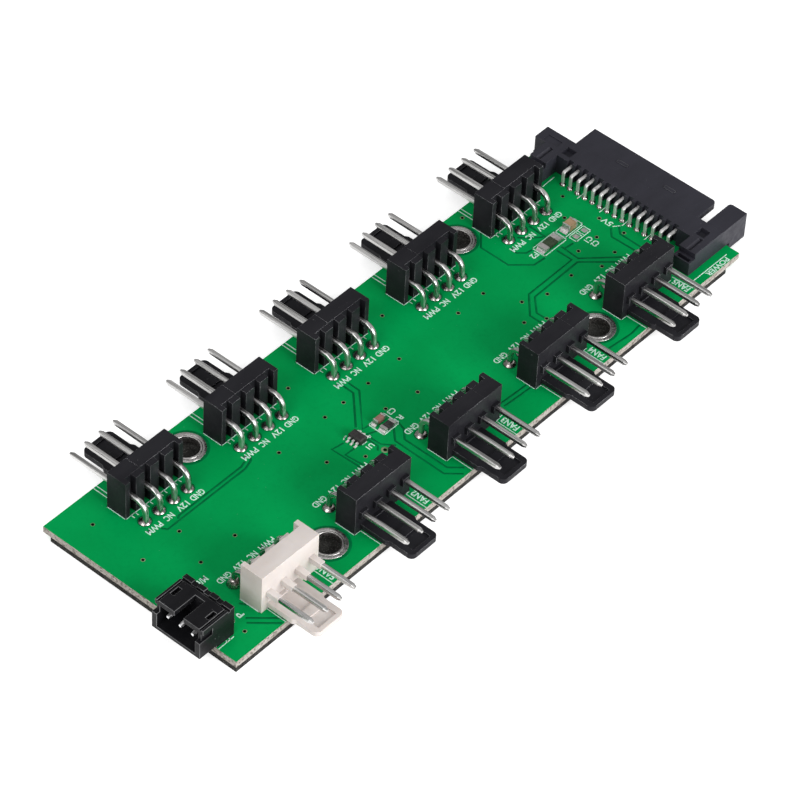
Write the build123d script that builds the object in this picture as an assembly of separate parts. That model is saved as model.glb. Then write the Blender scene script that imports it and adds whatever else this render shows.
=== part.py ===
"""Fan hub board: ten four-pin fan headers, a power inlet and a three-pin signal inlet.

All lengths are in millimetres. X runs along the board towards the power inlet, Y runs across it
towards the back row of headers, and Z points up. The origin lies under the middle of the board,
on the underside of the foam pad.
"""

import math
import os

from build123d import *

# Board and foam pad
board_length = 97.0
board_width = 32.0
board_thickness = 1.0
foam_thickness = 0.8
foam_inset_back = 1.25
foam_inset_power_end = 2.7

# Mounting holes, each with a plated ring
mounting_hole_radius = 1.8
mounting_hole_inset_front = 4.82
mounting_hole_inset_back = 3.57
mounting_hole_shift = 0.2
plating_ring_width = 0.8
plating_ring_height = 0.06
plating_lip_width = 0.25
plating_lip_height = 0.14
plating_wall = 0.1
plating_gap = 0.02

# Fan headers, two rows that face the long edges
header_count = 5
first_header_inset = 12.82
last_header_inset = 15.26
pin_row_inset = 8.68
pin_count = 4
pin_pitch = 2.54
pin_width = 0.64
pin_point_length = 0.5
pin_point_taper = 18.0
pin_bend_radius = 1.5
pin_hole_clearance = 0.05

# Header housing: a block with a comb of ribs behind it and a latching tongue in front
housing_end_margin = 1.27
comb_gap = 2.14
comb_depth = 0.88
comb_slot_width = 1.1
comb_drop = 0.1
block_depth = 2.3
block_height = 6.1
mould_step_place = 3.3
mould_step_depth = 0.06
header_pin_height = 3.1
pin_reach = 7.45
collar_width = 1.24
collar_length = 0.5
tongue_width = 4.95
tongue_reach = 8.12
tongue_lift = 0.35
tongue_thickness = 0.8
tongue_corner_radius = 0.8
tongue_root_margin = 0.3
tongue_root_length = 4.5
tongue_root_taper = 0.5
tongue_recess_width = 3.2
tongue_recess_depth = 0.3
tongue_band_place = 4.0
tongue_band_length = 1.3
tongue_rim = 0.6

# The first header is a pale one with its face nearer the edge and long bosses at its pins
pale_block_extra = 0.3
pale_pin_drop = 0.3
pale_boss_width = 0.84
pale_boss_length = 1.8
pale_comb_drop = 0.95

# Power inlet: a tongue plate between a guide arm and a closed end, with fifteen contacts
power_row_inset = 5.8
power_row_shift = 0.38
contact_count = 15
contact_pitch = 1.27
contact_width = 0.45
contact_thickness = 0.25
contact_bend_radius = 0.3
contact_end_gap = 0.7
body_gap = 1.2
body_depth = 3.5
body_height = 3.05
body_comb_depth = 0.5
body_comb_slot_width = 0.8
plate_end_margin = 1.46
plate_shift = 0.47
plate_projection = 4.1
plate_thickness = 1.05
plate_top_drop = 0.08
plate_corner_radius = 0.6
plate_mark_size = (0.6, 1.8, 0.06)
plate_mark_places = ((5.95, 3.77), (6.35, -3.93))
plate_key_thickness = 1.2
plate_key_drop = 1.2
arm_gap = 1.5
arm_width = 2.8
arm_projection = 5.1
arm_drop = 1.15
arm_end_clearance = 0.6
arm_corner_radius = 0.5
closed_end_step = 0.9
closed_end_ledge_height = 0.6
closed_end_ledge_length = 0.2
foot_length = 3.5
foot_height = 2.2
foot_step = 1.2
foot_width = 2.7
back_foot_inset = 1.8
foot_slot_rim = 0.2
foot_slot_width = 0.6
foot_slot_inset = 0.3
foot_slot_depth = 1.0
groove_width = 0.7
groove_length = 2.7
groove_place = 1.3
groove_end_gap = 0.15
pocket_size = (1.5, 1.5, 0.7)
pocket_places = ((2.7, 10.3), (2.8, -12.3))
panel_size = (1.2, 2.4, 0.12)
panel_inset = 1.1

# Signal inlet: a box open to the left end of the board, with three pins
signal_centre_inset = 7.1
signal_overhang = 2.94
signal_depth = 6.04
signal_width = 7.8
signal_height = 4.9
signal_underside_lift = 0.4
signal_side_wall = 0.8
signal_floor = 0.5
signal_roof = 0.8
signal_rear_wall = 1.6
signal_roof_setback = 0.55
signal_lip_height = 3.1
signal_side_notch_length = 2.2
signal_side_notch_height = 1.0
signal_side_notch_depth = 0.3
signal_rail_width = 0.35
signal_rail_groove_width = 0.25
signal_rail_groove_depth = 0.2
signal_slot_width = 1.5
signal_slot_length = 4.2
signal_window_width = 0.6
signal_window_length = 1.4
signal_window_place = 2.4
signal_window_offset = 2.85
signal_groove_place = 4.95
signal_groove_width = 0.35
signal_groove_depth = 0.3
signal_notch_width = 0.8
signal_notch_depth = 0.25
signal_pin_pitch = 2.0
signal_pin_count = 3
signal_pin_width = 0.5
signal_pin_height = 2.8
signal_pin_setback = 0.75
signal_row_gap = 1.2
signal_bend_radius = 0.8

# Solder joints round the legs
solder_ring_width = 0.42
solder_height = 0.5
solder_neck_margin = 0.06
power_solder_ring_width = 0.18

# Small chips by the middle of the board, with their places measured from its middle
buffer_chip_place = (-11.2, -2.15)
buffer_chip_size = (1.25, 2.1, 0.95)
buffer_chip_lift = 0.1
buffer_lead_pitch = 0.65
buffer_lead_rows = 3
buffer_lead_width = 0.3
buffer_lead_thickness = 0.15
buffer_lead_span = 0.75
buffer_lead_height = 0.5
capacitor_1_place = (-6.95, -2.0)
capacitor_1_size = (1.6, 0.8, 0.8)
capacitor_1_end = 0.25
resistor_1_place = (-6.85, -3.4)
resistor_1_size = (2.0, 1.1, 0.5)
resistor_1_end = 0.42
chip_end_overlap = 0.03

# Small chips by the power inlet, with their places measured from the middle of the board's power end
fuse_place = (-15.9, 3.12)
fuse_size = (3.3, 1.45, 0.55)
fuse_end = 0.8
capacitor_2_place = (-11.65, 3.25)
capacitor_2_size = (1.65, 1.25, 1.1)
capacitor_2_end = 0.22
bare_pad_places = ((-12.39, 1.51), (-10.7, 1.49))
bare_pad_size = (0.7, 0.8, 0.08)

# Shapes that stand on Z = 0 or hang below it, centred
STANDING = (Align.CENTER, Align.CENTER, Align.MIN)
HANGING = (Align.CENTER, Align.CENTER, Align.MAX)

# Places that follow from the sizes above
board_top = foam_thickness + board_thickness
left_end = -board_length / 2
power_end = board_length / 2
front_edge = -board_width / 2
back_edge = board_width / 2
header_length = (pin_count - 1) * pin_pitch + 2 * housing_end_margin
header_pitch = (board_length - first_header_inset - last_header_inset) / (header_count - 1)
header_places = [left_end + first_header_inset + i * header_pitch for i in range(header_count)]
pin_places = [(i - (pin_count - 1) / 2) * pin_pitch for i in range(pin_count)]
supply_pin_place = pin_places[2]
block_front = comb_gap + comb_depth + block_depth
pin_hole_radius = pin_width * math.sqrt(2) / 2 + pin_hole_clearance
contact_places = [((contact_count - 1) / 2 - i) * contact_pitch for i in range(contact_count)]
contact_hole_radius = math.hypot(contact_width, contact_thickness) / 2 + pin_hole_clearance
signal_pin_places = [((signal_pin_count - 1) / 2 - i) * signal_pin_pitch for i in range(signal_pin_count)]
signal_hole_radius = signal_pin_width * math.sqrt(2) / 2 + pin_hole_clearance
plate_width = (contact_count - 1) * contact_pitch + 2 * plate_end_margin
plate_underside = body_height - plate_thickness
contact_height = plate_underside + contact_thickness / 2


def block(low, high):
    """A box between two opposite corners."""
    size = [b - a for a, b in zip(low, high)]
    return Pos(*low) * Box(*size, align=Align.MIN)


def bent_strip(width, thickness, height, reach, bend_radius, tail):
    """A strip along +Y at a height, bent down to a leg at Y = 0 that ends a tail below zero."""
    leg_top = height - bend_radius
    leg = block((-width / 2, -thickness / 2, -tail), (width / 2, thickness / 2, leg_top))
    section = Pos(0, 0, leg_top) * Rectangle(width, thickness)
    bend = revolve(section, Axis((0, bend_radius, leg_top), (-1, 0, 0)), 90)
    run = block(
        (-width / 2, bend_radius, height - thickness / 2),
        (width / 2, reach, height + thickness / 2),
    )
    return leg + bend + run


def pointed_pin(width, height, reach, bend_radius, tail):
    """A square bent pin whose free end tapers to a blunt point."""
    pin = bent_strip(width, width, height, reach - pin_point_length, bend_radius, tail)
    end = Plane(origin=(0, reach - pin_point_length, height), x_dir=(1, 0, 0), z_dir=(0, 1, 0))
    point = extrude(end * Rectangle(width, width), pin_point_length, taper=pin_point_taper)
    return pin + point


def place_header(row, index):
    """Where a header stands: its pin row at Y = 0, its face towards the near long edge."""
    x = header_places[index]
    if row == "front":
        return Pos(x, front_edge + pin_row_inset, board_top) * Rot(0, 0, 180)
    return Pos(x, back_edge - pin_row_inset, board_top)


def tongue(front):
    """The flat latch below the pins, with a shallow recess either side of a raised band."""
    end = block_front + tongue_reach
    top = tongue_lift + tongue_thickness
    half = tongue_width / 2
    plate = block((-half, front, tongue_lift), (half, end, top))
    plate = fillet(plate.edges().filter_by(Axis.Z).group_by(Axis.Y)[-1], tongue_corner_radius)
    root_half = half + tongue_root_margin
    root_outline = Polyline(
        (-root_half, front),
        (root_half, front),
        (root_half, front + tongue_root_length - tongue_root_taper),
        (half, front + tongue_root_length),
        (-half, front + tongue_root_length),
        (-root_half, front + tongue_root_length - tongue_root_taper),
        close=True,
    )
    plate += extrude(Pos(0, 0, tongue_lift) * make_face(root_outline), tongue_thickness)
    recess_half = tongue_recess_width / 2
    recess_floor = top - tongue_recess_depth
    band_start = front + tongue_band_place
    inner = block((-recess_half, front + collar_length, recess_floor), (recess_half, band_start, top))
    outer = block(
        (-recess_half, band_start + tongue_band_length, recess_floor),
        (recess_half, end - tongue_rim, top),
    )
    return Pos(supply_pin_place, 0, 0) * (plate - inner - outer)


def header_housing(pin_height, extra_depth, boss_width, boss_length, rib_drop):
    """A fan header's moulding, with its pin row at Y = 0 and its underside at Z = 0."""
    half = header_length / 2
    slot_floor = comb_gap + comb_depth
    front = block_front + extra_depth
    housing = block((-half, comb_gap, 0), (half, front, block_height))
    step_end = -half + mould_step_place
    housing -= block((-half, comb_gap, block_height - mould_step_depth), (step_end, front, block_height))
    housing -= block(
        (pin_places[0], comb_gap, block_height - rib_drop),
        (pin_places[-1], slot_floor, block_height),
    )
    boss_half = boss_width / 2
    for x in pin_places:
        housing -= block(
            (x - comb_slot_width / 2, comb_gap, 0),
            (x + comb_slot_width / 2, slot_floor, block_height),
        )
        housing += block(
            (x - boss_half, front, pin_height - boss_half),
            (x + boss_half, front + boss_length, pin_height + boss_half),
        )
    housing += tongue(front)
    for x in pin_places:
        housing -= block(
            (x - pin_width / 2, slot_floor, pin_height - pin_width / 2),
            (x + pin_width / 2, front + boss_length, pin_height + pin_width / 2),
        )
    return housing


def header_pins(pin_height):
    """The four bent pins of one header, as separate solids."""
    pin = pointed_pin(pin_width, pin_height, block_front + pin_reach, pin_bend_radius, board_thickness)
    return Compound([Pos(x, 0, 0) * pin for x in pin_places])


def mounting_hole_places():
    """Centres of the four mounting holes, between the outer pairs of headers."""
    first = (header_places[0] + header_places[1]) / 2 + mounting_hole_shift
    last = (header_places[-2] + header_places[-1]) / 2 + mounting_hole_shift
    rows = (front_edge + mounting_hole_inset_front, back_edge - mounting_hole_inset_back)
    return [(x, y) for x in (first, last) for y in rows]


def leg_places():
    """Every leg's place on the board, as three lists: fan headers, power inlet, signal inlet."""
    fan = []
    for row in ("front", "back"):
        for index in range(header_count):
            for x in pin_places:
                fan.append((place_header(row, index) * Pos(x, 0, 0)).position)
    power = [(place_power() * Pos(0, y, 0)).position for y in contact_places]
    signal = [(place_signal() * Pos(signal_row(), y, 0)).position for y in signal_pin_places]
    return fan, power, signal


def circuit_board():
    """The bare board with its mounting holes and a hole for each leg."""
    board = Pos(0, 0, board_top - board_thickness / 2) * Box(board_length, board_width, board_thickness)
    middle = board_top - board_thickness / 2
    bore = mounting_hole_radius + plating_wall + plating_gap
    holes = [Pos(x, y, middle) * Cylinder(bore, board_thickness) for x, y in mounting_hole_places()]
    radii = (pin_hole_radius, contact_hole_radius, signal_hole_radius)
    for places, radius in zip(leg_places(), radii):
        holes += [Pos(p.X, p.Y, middle) * Cylinder(radius, board_thickness) for p in places]
    return board - holes


def foam_pad():
    """The foam sheet under the board."""
    far_corner = (power_end - foam_inset_power_end, back_edge - foam_inset_back, foam_thickness)
    return block((left_end, front_edge, 0), far_corner)


def plating_ring():
    """A plated sleeve through the board with a flat ring and a low lip on its top."""
    inner = mounting_hole_radius
    sleeve = inner + plating_wall
    lip = inner + plating_lip_width
    rim = inner + plating_ring_width
    outline = Polyline(
        (inner, -board_thickness),
        (sleeve, -board_thickness),
        (sleeve, 0),
        (rim, 0),
        (rim, plating_ring_height),
        (lip, plating_ring_height),
        (lip, plating_lip_height),
        (inner, plating_lip_height),
        close=True,
    )
    return revolve(Plane.XZ * make_face(outline), Axis.Z)


def mounting_hole_plating():
    """The four plated rings, as separate solids."""
    ring = plating_ring()
    return Compound([Pos(x, y, board_top) * ring for x, y in mounting_hole_places()])


def place_power():
    """The power inlet's middle contact leg on the board."""
    return Pos(power_end - power_row_inset, power_row_shift, board_top)


def power_contact():
    """One contact, from its leg through the body to its blade under the plate."""
    reach = body_gap + body_depth + plate_projection - contact_end_gap
    strip = bent_strip(
        contact_width, contact_thickness, contact_height, reach, contact_bend_radius, board_thickness
    )
    return Rot(0, 0, -90) * strip


def groove(x, y):
    """A V-shaped cut along X in the top of the power inlet."""
    side = groove_width / math.sqrt(2)
    bar = Box(groove_length, side, side, align=(Align.MIN, Align.CENTER, Align.CENTER))
    return Pos(x, y, body_height) * Rot(45, 0, 0) * bar


def power_housing():
    """The power inlet's moulding, about its middle contact leg, its underside at Z = 0."""
    rear = body_gap
    front = body_gap + body_depth
    plate_front_side = plate_shift - plate_width / 2
    plate_back_side = plate_shift + plate_width / 2
    arm_inner = plate_front_side - arm_gap
    arm_outer = arm_inner - arm_width
    closed_end = back_edge - power_row_shift
    foot_back = closed_end - back_foot_inset

    housing = block((rear, arm_outer, 0), (front, foot_back, body_height))
    housing += block((rear + closed_end_step, foot_back, 0), (front, closed_end, body_height))
    housing += block(
        (rear + closed_end_step - closed_end_ledge_length, foot_back, 0),
        (front, closed_end, closed_end_ledge_height),
    )

    plate_end = front + plate_projection
    plate_top = body_height - plate_top_drop
    plate = block((front, plate_front_side, plate_underside), (plate_end, plate_back_side, plate_top))
    near_corner = plate.edges().filter_by(Axis.Z).group_by(Axis.X)[-1].sort_by(Axis.Y)[0]
    plate = fillet(near_corner, plate_corner_radius)
    for x, y in plate_mark_places:
        plate += Pos(x, y, plate_top) * Box(*plate_mark_size, align=STANDING)
    key = block(
        (front, plate_back_side - plate_key_thickness, plate_underside - plate_key_drop),
        (plate_end, plate_back_side, plate_underside),
    )
    housing += [plate, key]

    arm_end = front + arm_projection
    arm = block((front, arm_outer, 0), (arm_end, arm_inner, plate_top))
    drop_start = power_row_inset + arm_end_clearance
    arm += block((drop_start, arm_outer, -arm_drop), (arm_end, arm_inner, 0))
    inner_corner = arm.edges().filter_by(Axis.Z).group_by(Axis.X)[-1].sort_by(Axis.Y)[-1]
    housing += fillet(inner_corner, arm_corner_radius)

    for foot_start in (arm_outer, foot_back - foot_width):
        foot_end = foot_start + foot_width
        housing += block((rear - foot_length, foot_start, 0), (rear, foot_end, foot_height))
        upper_start = rear - foot_length + foot_step
        housing += block((upper_start, foot_start, foot_height), (rear, foot_end, body_height))
        slot_start = rear - foot_length + foot_slot_rim
        housing -= block(
            (slot_start, foot_start + foot_slot_inset, foot_height - foot_slot_depth),
            (slot_start + foot_slot_width, foot_end - foot_slot_inset, foot_height),
        )

    for x, y in pocket_places:
        housing -= Pos(x, y, body_height) * Box(*pocket_size, align=HANGING)
    panel_x = front - panel_inset - panel_size[0] / 2
    panel_y = closed_end - panel_inset - panel_size[1] / 2
    housing -= Pos(panel_x, panel_y, body_height) * Box(*panel_size, align=HANGING)

    groove_start = rear - foot_length + foot_step + groove_end_gap
    housing -= groove(groove_start, arm_outer + groove_place)
    housing -= groove(groove_start, foot_back - groove_place)

    for y in contact_places:
        housing -= block(
            (rear, y - body_comb_slot_width / 2, 0),
            (rear + body_comb_depth, y + body_comb_slot_width / 2, body_height),
        )
        housing -= block(
            (rear, y - contact_width / 2, plate_underside),
            (plate_end - contact_end_gap, y + contact_width / 2, plate_underside + contact_thickness),
        )
    return housing


def place_signal():
    """The signal inlet's opening on the left end of the board."""
    return Pos(left_end - signal_overhang, front_edge + signal_centre_inset, board_top)


def signal_row():
    """How far the signal pins' legs stand behind the inlet's opening."""
    return signal_depth + signal_row_gap


def signal_pin():
    """One pin of the signal inlet, about its leg, with its point towards -X."""
    reach = signal_row() - signal_pin_setback
    pin = pointed_pin(signal_pin_width, signal_pin_height, reach, signal_bend_radius, board_thickness)
    return Rot(0, 0, 90) * pin


def signal_housing():
    """The signal inlet's moulding, with its opening at X = 0 and its underside at Z = 0."""
    half = signal_width / 2
    housing = block((0, -half, 0), (signal_depth, half, signal_height))
    housing -= block((0, -half, signal_lip_height), (signal_roof_setback, half, signal_height))

    notch_inner = half - signal_side_notch_depth
    notch_top = signal_lip_height + signal_side_notch_height
    rail_inner = half - signal_rail_width
    rail_floor = signal_height - signal_rail_groove_depth
    for side in (-1, 1):
        housing -= block(
            (0, min(side * notch_inner, side * half), signal_lip_height),
            (signal_side_notch_length, max(side * notch_inner, side * half), notch_top),
        )
        rail_sides = (side * rail_inner, side * (rail_inner - signal_rail_groove_width))
        housing -= block((0, min(rail_sides), rail_floor), (signal_groove_place, max(rail_sides), signal_height))

    cavity_half = half - signal_side_wall
    cavity_end = signal_depth - signal_rear_wall
    ceiling = signal_height - signal_roof
    cavity_floor = signal_underside_lift + signal_floor
    housing -= block((0, -half, 0), (signal_overhang, half, signal_underside_lift))
    housing -= block((0, -cavity_half, cavity_floor), (cavity_end, cavity_half, ceiling))
    slot_half = signal_slot_width / 2
    housing -= block((0, -slot_half, ceiling), (signal_slot_length, slot_half, signal_height))
    window_half = signal_window_width / 2
    for y in (-signal_window_offset, signal_window_offset):
        housing -= block(
            (signal_window_place, y - window_half, ceiling),
            (signal_window_place + signal_window_length, y + window_half, signal_height),
        )

    groove_end = signal_groove_place + signal_groove_width
    housing -= block(
        (signal_groove_place, -half, signal_height - signal_groove_depth),
        (groove_end, half, signal_height),
    )
    notch_half = signal_notch_width / 2
    for y in signal_pin_places:
        housing -= block(
            (groove_end, y - notch_half, signal_height - signal_notch_depth),
            (signal_depth, y + notch_half, signal_height),
        )
    pin_half = signal_pin_width / 2
    for y in signal_pin_places:
        housing -= block(
            (cavity_end, y - pin_half, signal_pin_height - pin_half),
            (signal_depth, y + pin_half, signal_pin_height + pin_half),
        )
    return housing


def solder_joint(hole_radius, ring_width, leg_width, leg_thickness):
    """A solder cone on the board round a leg, which passes through it."""
    neck = math.hypot(leg_width, leg_thickness) / 2 + solder_neck_margin
    cone = Cone(hole_radius + ring_width, neck, solder_height, align=STANDING)
    return cone - Box(leg_width, leg_thickness, 2 * solder_height)


def solder_group(joint, places):
    """Copies of a solder joint at the legs' places, as separate solids."""
    return Compound([Pos(p.X, p.Y, board_top) * joint for p in places])


def chip_body(size, end_length):
    """The ceramic middle of a chip, between its two end caps."""
    length, width, height = size
    middle = length - 2 * end_length
    body_width = width - 2 * chip_end_overlap
    body_height_above = height - 2 * chip_end_overlap
    return Box(middle, body_width, body_height_above, align=STANDING)


def chip_ends(size, end_length):
    """The two metal end caps of a chip, as separate solids."""
    length, width, height = size
    cap = Box(end_length, width, height, align=STANDING)
    offset = (length - end_length) / 2
    return Compound([Pos(side * offset, 0, 0) * cap for side in (-1, 1)])


def buffer_chip():
    """The moulded body of the six-lead chip, held just above the board by its leads."""
    width, length, height = buffer_chip_size
    body = Box(width, length, height - buffer_chip_lift, align=STANDING)
    top = body.edges().group_by(Axis.Z)[-1]
    return Pos(0, 0, buffer_chip_lift) * chamfer(top, buffer_lead_thickness)


def buffer_leads():
    """Six bent leads of the chip, as separate solids."""
    half = buffer_chip_size[0] / 2
    half_width = buffer_lead_width / 2
    low = buffer_lead_height - buffer_lead_thickness
    outer = half + buffer_lead_span
    knee = half + buffer_lead_span / 2
    outline = Polyline(
        (half, low),
        (knee - buffer_lead_thickness, low),
        (knee - buffer_lead_thickness, 0),
        (outer, 0),
        (outer, buffer_lead_thickness),
        (knee, buffer_lead_thickness),
        (knee, buffer_lead_height),
        (half, buffer_lead_height),
        close=True,
    )
    lead = Pos(0, half_width, 0) * extrude(Plane.XZ * make_face(outline), buffer_lead_width)
    leads = []
    for turn in (0, 180):
        for i in range(buffer_lead_rows):
            y = (i - (buffer_lead_rows - 1) / 2) * buffer_lead_pitch
            leads.append(Rot(0, 0, turn) * Pos(0, y, 0) * lead)
    return Compound(leads)


def on_board(start, place, shape):
    """Sets a small part on the board's top at a place measured from a start on its middle line."""
    return Pos(start + place[0], place[1], board_top) * shape


def board_parts():
    """The board, the foam under it, the plated rings and the solder joints."""
    fan, power, signal = leg_places()
    fan_joint = solder_joint(pin_hole_radius, solder_ring_width, pin_width, pin_width)
    power_joint = solder_joint(
        contact_hole_radius, power_solder_ring_width, contact_thickness, contact_width
    )
    signal_joint = solder_joint(signal_hole_radius, solder_ring_width, signal_pin_width, signal_pin_width)
    return {
        "circuit_board": circuit_board(),
        "foam_pad": foam_pad(),
        "mounting_hole_plating": mounting_hole_plating(),
        "fan_header_solder": solder_group(fan_joint, fan),
        "power_inlet_solder": solder_group(power_joint, power),
        "signal_inlet_solder": solder_group(signal_joint, signal),
    }


def header_parts():
    """Ten headers, each a housing and its pins; the front row comes first."""
    dark_housing = header_housing(header_pin_height, 0, collar_width, collar_length, comb_drop)
    dark_pins = header_pins(header_pin_height)
    pale_pin_height = header_pin_height - pale_pin_drop
    pale_housing = header_housing(
        pale_pin_height, pale_block_extra, pale_boss_width, pale_boss_length, pale_comb_drop
    )
    pale_pins = header_pins(pale_pin_height)
    parts = {}
    number = 0
    for row in ("front", "back"):
        for index in range(header_count):
            number += 1
            spot = place_header(row, index)
            is_pale = number == 1
            parts[f"fan_header_{number}"] = spot * (pale_housing if is_pale else dark_housing)
            parts[f"fan_header_pins_{number}"] = spot * (pale_pins if is_pale else dark_pins)
    return parts


def power_parts():
    """The power inlet's moulding and its fifteen contacts."""
    spot = place_power()
    parts = {"power_inlet": spot * power_housing()}
    contact = power_contact()
    for i, y in enumerate(contact_places):
        parts[f"power_contact_{i + 1}"] = spot * Pos(0, y, 0) * contact
    return parts


def signal_parts():
    """The signal inlet's moulding and its three pins."""
    spot = place_signal()
    parts = {"signal_inlet": spot * signal_housing()}
    pin = signal_pin()
    for i, y in enumerate(signal_pin_places):
        parts[f"signal_pin_{i + 1}"] = spot * Pos(signal_row(), y, 0) * pin
    return parts


def chip_parts():
    """The small chips soldered to the board, and a pair of bare pads."""
    chips = {
        "capacitor_1": (0, capacitor_1_place, capacitor_1_size, capacitor_1_end),
        "resistor_1": (0, resistor_1_place, resistor_1_size, resistor_1_end),
        "fuse": (power_end, fuse_place, fuse_size, fuse_end),
        "capacitor_2": (power_end, capacitor_2_place, capacitor_2_size, capacitor_2_end),
    }
    parts = {}
    for name, (start, place, size, end_length) in chips.items():
        parts[name] = on_board(start, place, chip_body(size, end_length))
        parts[name + "_ends"] = on_board(start, place, chip_ends(size, end_length))
    parts["buffer_chip"] = on_board(0, buffer_chip_place, buffer_chip())
    parts["buffer_chip_leads"] = on_board(0, buffer_chip_place, buffer_leads())
    pad = Box(*bare_pad_size, align=STANDING)
    parts["bare_pads"] = Compound([on_board(power_end, place, pad) for place in bare_pad_places])
    return parts


def main():
    os.makedirs("parts", exist_ok=True)
    parts = {}
    for make in (board_parts, header_parts, power_parts, signal_parts, chip_parts):
        parts.update(make())
    for name, shape in parts.items():
        export_step(shape, f"parts/{name}.step")


main()
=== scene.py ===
"""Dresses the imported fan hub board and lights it.

Places and sizes are in millimetres in the part's own frame, and become metres when a mesh is made.
"""

import math

import bmesh
import bpy
from mathutils import Matrix, Vector


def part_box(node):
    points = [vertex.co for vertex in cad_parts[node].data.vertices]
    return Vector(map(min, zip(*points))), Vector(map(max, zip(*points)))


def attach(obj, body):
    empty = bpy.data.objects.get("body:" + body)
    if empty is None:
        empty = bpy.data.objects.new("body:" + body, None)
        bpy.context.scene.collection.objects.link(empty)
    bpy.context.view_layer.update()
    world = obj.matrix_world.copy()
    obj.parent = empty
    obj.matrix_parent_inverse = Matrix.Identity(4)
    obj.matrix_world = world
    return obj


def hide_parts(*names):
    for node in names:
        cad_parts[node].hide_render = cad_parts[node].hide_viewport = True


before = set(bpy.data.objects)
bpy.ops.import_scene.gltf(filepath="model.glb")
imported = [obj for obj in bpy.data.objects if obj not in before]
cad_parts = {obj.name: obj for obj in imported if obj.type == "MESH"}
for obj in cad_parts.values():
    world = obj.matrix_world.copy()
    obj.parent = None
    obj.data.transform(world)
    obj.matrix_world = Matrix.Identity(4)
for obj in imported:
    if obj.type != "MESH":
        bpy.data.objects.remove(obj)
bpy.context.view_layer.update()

MM = 0.001
BODY = "root"


def node_box(node):
    """A CAD node's lowest and highest corners in millimetres."""
    low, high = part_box(node)
    return low / MM, high / MM


# Sizes of the pins and of what is printed and plated on the board, in millimetres
board_low, board_high = node_box("circuit_board")
board_bottom = board_low.z
board_top = board_high.z
ink_width = 0.14
ink_height = 0.014
gap_height = 0.008
pin_width = 0.64
pin_pitch = 2.54
pins_per_header = 4
pin_places = [(i - (pins_per_header - 1) / 2) * pin_pitch for i in range(pins_per_header)]
header_count = 10
front_headers = 5
pale_header = 1
contact_count = 15
contacts_per_group = 3


class HeaderSpot:
    """Where a fan header stands and how its pins run."""

    def __init__(self, number):
        low, high = node_box(f"fan_header_pins_{number}")
        self.facing = -1 if number <= front_headers else 1
        self.middle = (low.x + high.x) / 2
        self.row = high.y - pin_width / 2 if self.facing < 0 else low.y + pin_width / 2
        self.pin_height = high.z - pin_width / 2
        self.pin_reach = high.y - low.y - pin_width / 2

    def on_board(self, x, y):
        """A point given from the header's own middle and pin row, as a place on the board."""
        return self.middle + self.facing * x, self.row + self.facing * y


header_spots = {number: HeaderSpot(number) for number in range(1, header_count + 1)}


# Materials


def wire(tree, kind, inputs=None, **settings):
    """Adds a node; an input that is given a socket is linked, and any other is set."""
    node = tree.nodes.new(kind)
    for name, value in settings.items():
        setattr(node, name, value)
    for key, value in (inputs or {}).items():
        if isinstance(value, bpy.types.NodeSocket):
            tree.links.new(value, node.inputs[key])
        else:
            node.inputs[key].default_value = value
    return node


class Finish:
    """A material in the making: its tree, its shader and the place on the piece."""

    def __init__(self, name, **shader):
        self.material = bpy.data.materials.new(name)
        self.material.use_nodes = True
        self.tree = self.material.node_tree
        self.shader = self.tree.nodes["Principled BSDF"]
        place = wire(self.tree, "ShaderNodeTexCoord")
        self.place = place.outputs["Object"]
        self.facing = place.outputs["Normal"]
        for socket, value in shader.items():
            self.set(socket.replace("_", " "), value)

    def set(self, socket, value):
        """Links one of the shader's inputs to a socket, or sets it to a value."""
        if isinstance(value, bpy.types.NodeSocket):
            self.tree.links.new(value, self.shader.inputs[socket])
        else:
            self.shader.inputs[socket].default_value = value

    def noise(self, size, detail=3.0, stretch=(1, 1, 1)):
        """A cloudy pattern with patches of about this size in millimetres, drawn out along an axis."""
        place = wire(
            self.tree,
            "ShaderNodeVectorMath",
            {0: self.place, 1: tuple(1 / s for s in stretch)},
            operation="MULTIPLY",
        )
        inputs = {"Vector": place.outputs[0], "Scale": 1 / (size * MM), "Detail": detail}
        return wire(self.tree, "ShaderNodeTexNoise", inputs).outputs["Fac"]

    def cells(self, size):
        """Distance from the middles of cells of about this size in millimetres."""
        inputs = {"Vector": self.place, "Scale": 1 / (size * MM)}
        return wire(self.tree, "ShaderNodeTexVoronoi", inputs).outputs["Distance"]

    def level(self, pattern, low, high, low_at=0.35, high_at=0.65):
        """A number that goes from low to high as a pattern goes between two levels."""
        inputs = {"Value": pattern, 1: low_at, 2: high_at, 3: low, 4: high}
        return wire(self.tree, "ShaderNodeMapRange", inputs).outputs["Result"]

    def mix(self, share, low, high):
        """A colour between two colours."""
        low, high = [c if isinstance(c, bpy.types.NodeSocket) else (*c, 1) for c in (low, high)]
        inputs = {0: share, 6: low, 7: high}
        return wire(self.tree, "ShaderNodeMix", inputs, data_type="RGBA").outputs[2]

    def bump(self, height, depth, strength=1.0):
        """Relief of a depth in millimetres, laid over any relief given before."""
        inputs = {"Height": height, "Distance": depth * MM, "Strength": strength}
        before = self.shader.inputs["Normal"].links
        if before:
            inputs["Normal"] = before[0].from_socket
        self.set("Normal", wire(self.tree, "ShaderNodeBump", inputs).outputs["Normal"])

    def upward(self):
        """1 where the surface faces up or down, 0 on upright sides."""
        split = wire(self.tree, "ShaderNodeSeparateXYZ", {0: self.facing})
        size = wire(self.tree, "ShaderNodeMath", {0: split.outputs["Z"]}, operation="ABSOLUTE")
        return self.level(size.outputs[0], 0.0, 1.0, 0.4, 0.6)


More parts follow.
